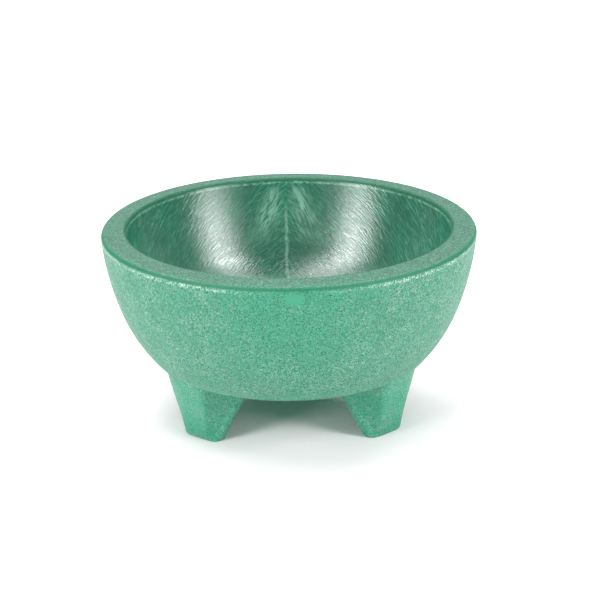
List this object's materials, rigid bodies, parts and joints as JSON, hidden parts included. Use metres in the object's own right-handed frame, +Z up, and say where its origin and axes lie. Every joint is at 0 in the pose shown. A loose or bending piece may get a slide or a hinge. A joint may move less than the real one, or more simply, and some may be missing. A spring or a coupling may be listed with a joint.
{
  "type": "molcajete salsa bowl",
  "caption": "Round thick-walled salsa bowl with a flat rim, standing on short tapered legs, moulded in green swirl-grained plastic.",
  "frame": {"origin": "on the surface that the bowl stands on, under the centre of the bowl", "axes": "+Z up along the axis of the bowl, -Y to the front, where the gap between two legs and the gate mark face, +X to the right"},
  "size_m": [0.127, 0.127, 0.0683],
  "materials": {
    "green_plastic": "satin, with a fine silvery swirl grain"
  },
  "bodies": {
    "root": {"bowl": "green_plastic", "leg_front_left": "green_plastic", "leg_front_right": "green_plastic", "leg_back": "green_plastic"}
  },
  "joints": []
}
